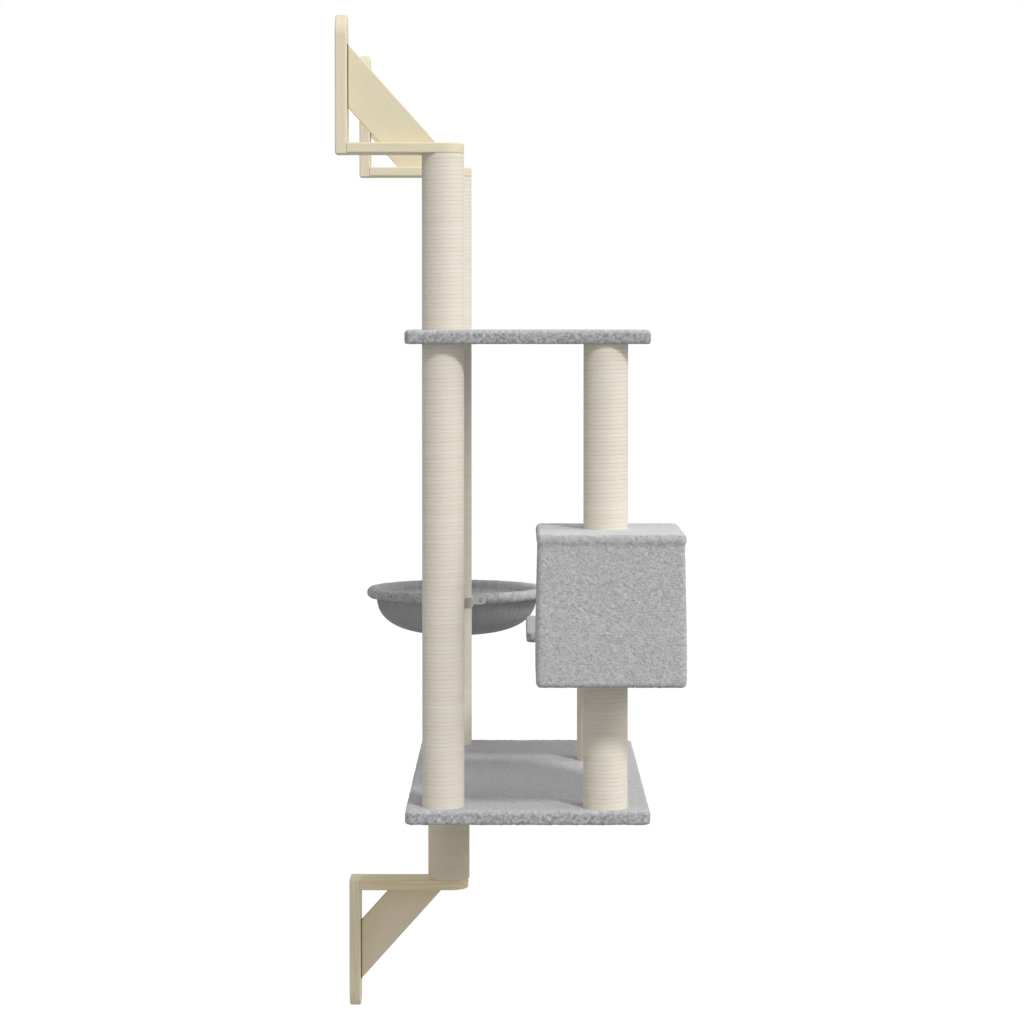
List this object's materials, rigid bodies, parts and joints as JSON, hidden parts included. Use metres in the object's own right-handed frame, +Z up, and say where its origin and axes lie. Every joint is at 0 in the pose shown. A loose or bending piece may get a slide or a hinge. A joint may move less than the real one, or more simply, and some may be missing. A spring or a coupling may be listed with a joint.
{
  "type": "wall mounted cat tree",
  "caption": "Wall-mounted cat tree: timber brackets and rope-wrapped posts carry plush platforms, a box house with a round entrance, a small step and a hanging bowl.",
  "frame": {"origin": "on the wall, at the middle of the two wall holes of the lower bracket, on the back face of its wall plate", "axes": "+X runs out from the wall into the room, +Y runs along the wall towards the bowl, +Z is up"},
  "size_m": [0.659, 1.4942, 1.978],
  "materials": {
    "timber": "sanded pine",
    "board": "raw particle board",
    "plush": "short looped plush",
    "sisal": "twisted natural rope",
    "cardboard": "wound cardboard",
    "plug": "turned softwood",
    "steel": "zinc plated",
    "bowl_cloth": "ribbed knit",
    "rim_cloth": "short plush",
    "strap": "powder coated"
  },
  "bodies": {
    "root": {"upper_left_wall_plate": "timber", "upper_left_arm": "timber", "upper_left_brace": "timber", "upper_right_wall_plate": "timber", "upper_right_arm": "timber", "upper_right_brace": "timber", "lower_wall_plate": "timber", "lower_arm": "timber", "lower_brace": "timber", "bracket_screws": "steel", "bracket_dowels": "plug", "rear_left_lower_tube": "cardboard", "rear_left_lower_sisal": "sisal", "rear_left_lower_plugs": "plug", "rear_left_upper_tube": "cardboard", "rear_left_upper_sisal": "sisal", "rear_left_upper_plugs": "plug", "rear_right_lower_tube": "cardboard", "rear_right_lower_sisal": "sisal", "rear_right_lower_plugs": "plug", "rear_right_upper_tube": "cardboard", "rear_right_upper_sisal": "sisal", "rear_right_upper_plugs": "plug", "front_left_lower_tube": "cardboard", "front_left_lower_sisal": "sisal", "front_left_lower_plugs": "plug", "front_left_upper_tube": "cardboard", "front_left_upper_sisal": "sisal", "front_left_upper_plugs": "plug", "front_right_tube": "cardboard", "front_right_sisal": "sisal", "front_right_plugs": "plug", "low_post_tube": "cardboard", "low_post_sisal": "sisal", "low_post_plugs": "plug", "base_board": "board", "base_plush": "plush", "upper_board": "board", "upper_plush": "plush", "step_board": "board", "step_plush": "plush", "house_roof_panel": "board", "house_floor_panel": "board", "house_front_panel": "board", "house_rear_panel": "board", "house_left_panel": "board", "house_right_panel": "board", "house_plush": "plush", "house_lining": "plush", "house_screws": "steel", "post_bolts": "steel", "post_washers": "steel", "platform_studs": "steel", "bowl_ring": "steel", "bowl_rim_cover": "rim_cloth", "bowl_cloth": "bowl_cloth", "bowl_strap": "strap", "bowl_bolts": "steel", "bowl_nuts": "steel"}
  },
  "joints": []
}
